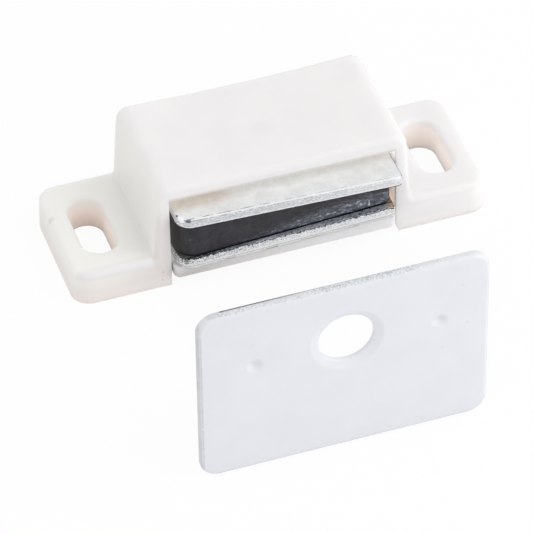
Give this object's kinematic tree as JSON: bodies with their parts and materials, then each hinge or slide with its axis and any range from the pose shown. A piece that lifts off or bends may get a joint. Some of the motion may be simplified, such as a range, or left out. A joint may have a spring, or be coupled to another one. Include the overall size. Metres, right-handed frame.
{
  "type": "magnetic catch",
  "caption": "Magnetic cabinet catch: a white moulded housing with slotted ears holds a bar magnet between steel pole plates, with a separate white strike plate.",
  "frame": {"origin": "middle of the mounting face, midway between the two screw slots", "axes": "+X along the catch, -Y the way the poles face, +Z away from the panel the housing is screwed to"},
  "size_m": [0.046, 0.0433, 0.0217],
  "materials": {
    "housing_plastic": "white moulded plastic, satin, slightly translucent",
    "plated_steel": "zinc plated, rough cropped edges",
    "ferrite": "matt black sintered ferrite",
    "white_painted_steel": "smooth cool white paint, bare cropped edges"
  },
  "bodies": {
    "catch": {"housing": "housing_plastic"},
    "pole_pack": {"upper_pole_plate": "plated_steel", "lower_pole_plate": "plated_steel", "bar_magnet": "ferrite"},
    "strike": {"strike_plate": "white_painted_steel"}
  },
  "joints": [
    {"name": "pack_rock", "type": "hinge", "parent": "catch", "child": "pole_pack", "pos_m": [0, 0.0051, 0.0027], "axis": [-1, 0, 0], "range_deg": [0, 4]},
    {"name": "strike_travel", "type": "slide", "parent": "catch", "child": "strike", "axis": [0, 1, 0], "range_m": [-0.02, 0.0248]}
  ]
}
